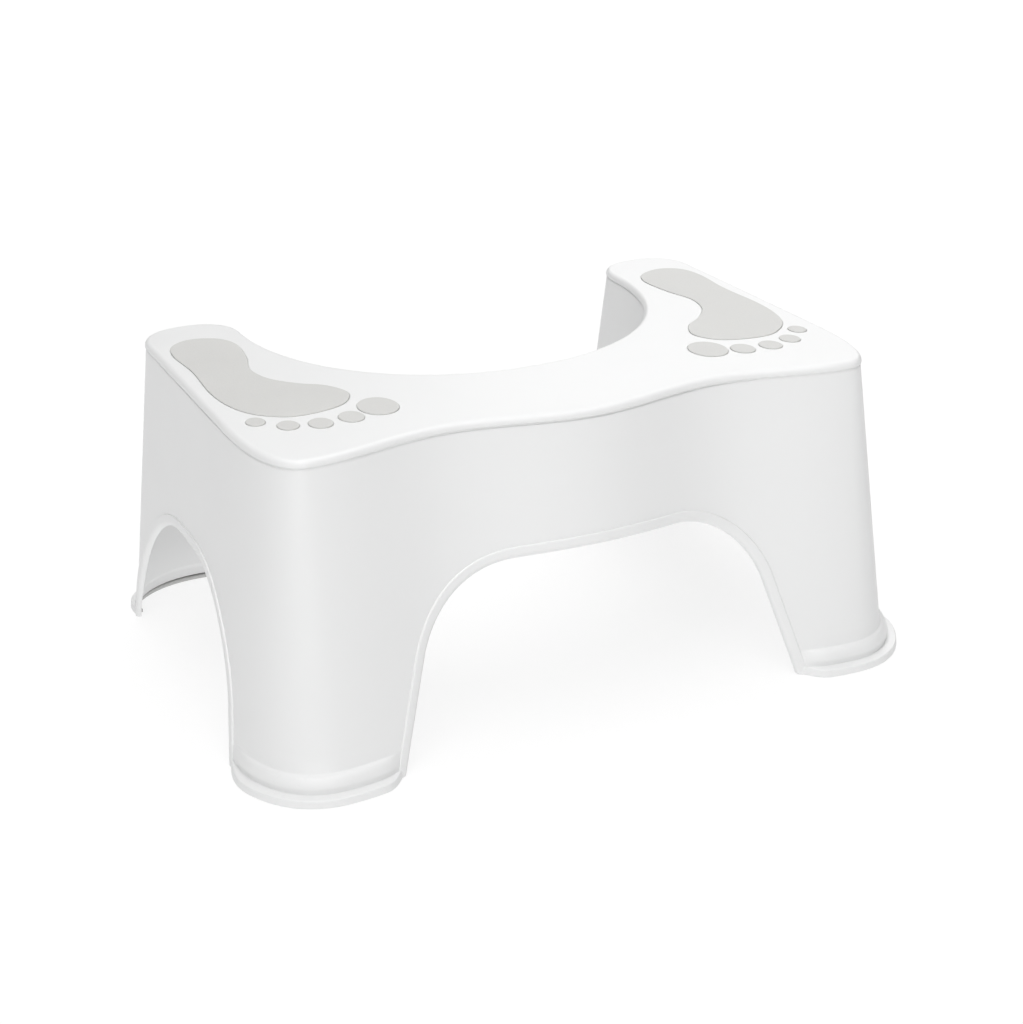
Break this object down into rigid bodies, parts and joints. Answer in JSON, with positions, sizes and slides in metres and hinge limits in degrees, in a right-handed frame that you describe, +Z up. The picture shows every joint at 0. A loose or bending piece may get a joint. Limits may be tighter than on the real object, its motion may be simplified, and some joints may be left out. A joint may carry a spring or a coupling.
{
  "type": "toilet footstool",
  "caption": "Moulded footstool with a curved cut-out at the back for a toilet, arches between flanged legs and footprint pads on the deck.",
  "frame": {"origin": "on the floor, under the middle of the stool", "axes": "+X along the stool, from the user's left foot to the right one seen from the front; -Y towards the side that the toes point to; +Y towards the toilet; +Z up"},
  "size_m": [0.4796, 0.3576, 0.21],
  "materials": {
    "white_plastic": "satin injection-moulded plastic",
    "pad_rubber": "matt soft-touch",
    "foot_rubber": "matt"
  },
  "bodies": {
    "root": {"stool_shell": "white_plastic", "left_sole_pad": "pad_rubber", "left_toe_pad_1": "pad_rubber", "left_toe_pad_2": "pad_rubber", "left_toe_pad_3": "pad_rubber", "left_toe_pad_4": "pad_rubber", "left_toe_pad_5": "pad_rubber", "right_sole_pad": "pad_rubber", "right_toe_pad_1": "pad_rubber", "right_toe_pad_2": "pad_rubber", "right_toe_pad_3": "pad_rubber", "right_toe_pad_4": "pad_rubber", "right_toe_pad_5": "pad_rubber", "front_left_foot_strip": "foot_rubber", "front_right_foot_strip": "foot_rubber", "back_left_foot_strip": "foot_rubber", "back_right_foot_strip": "foot_rubber"}
  },
  "joints": []
}
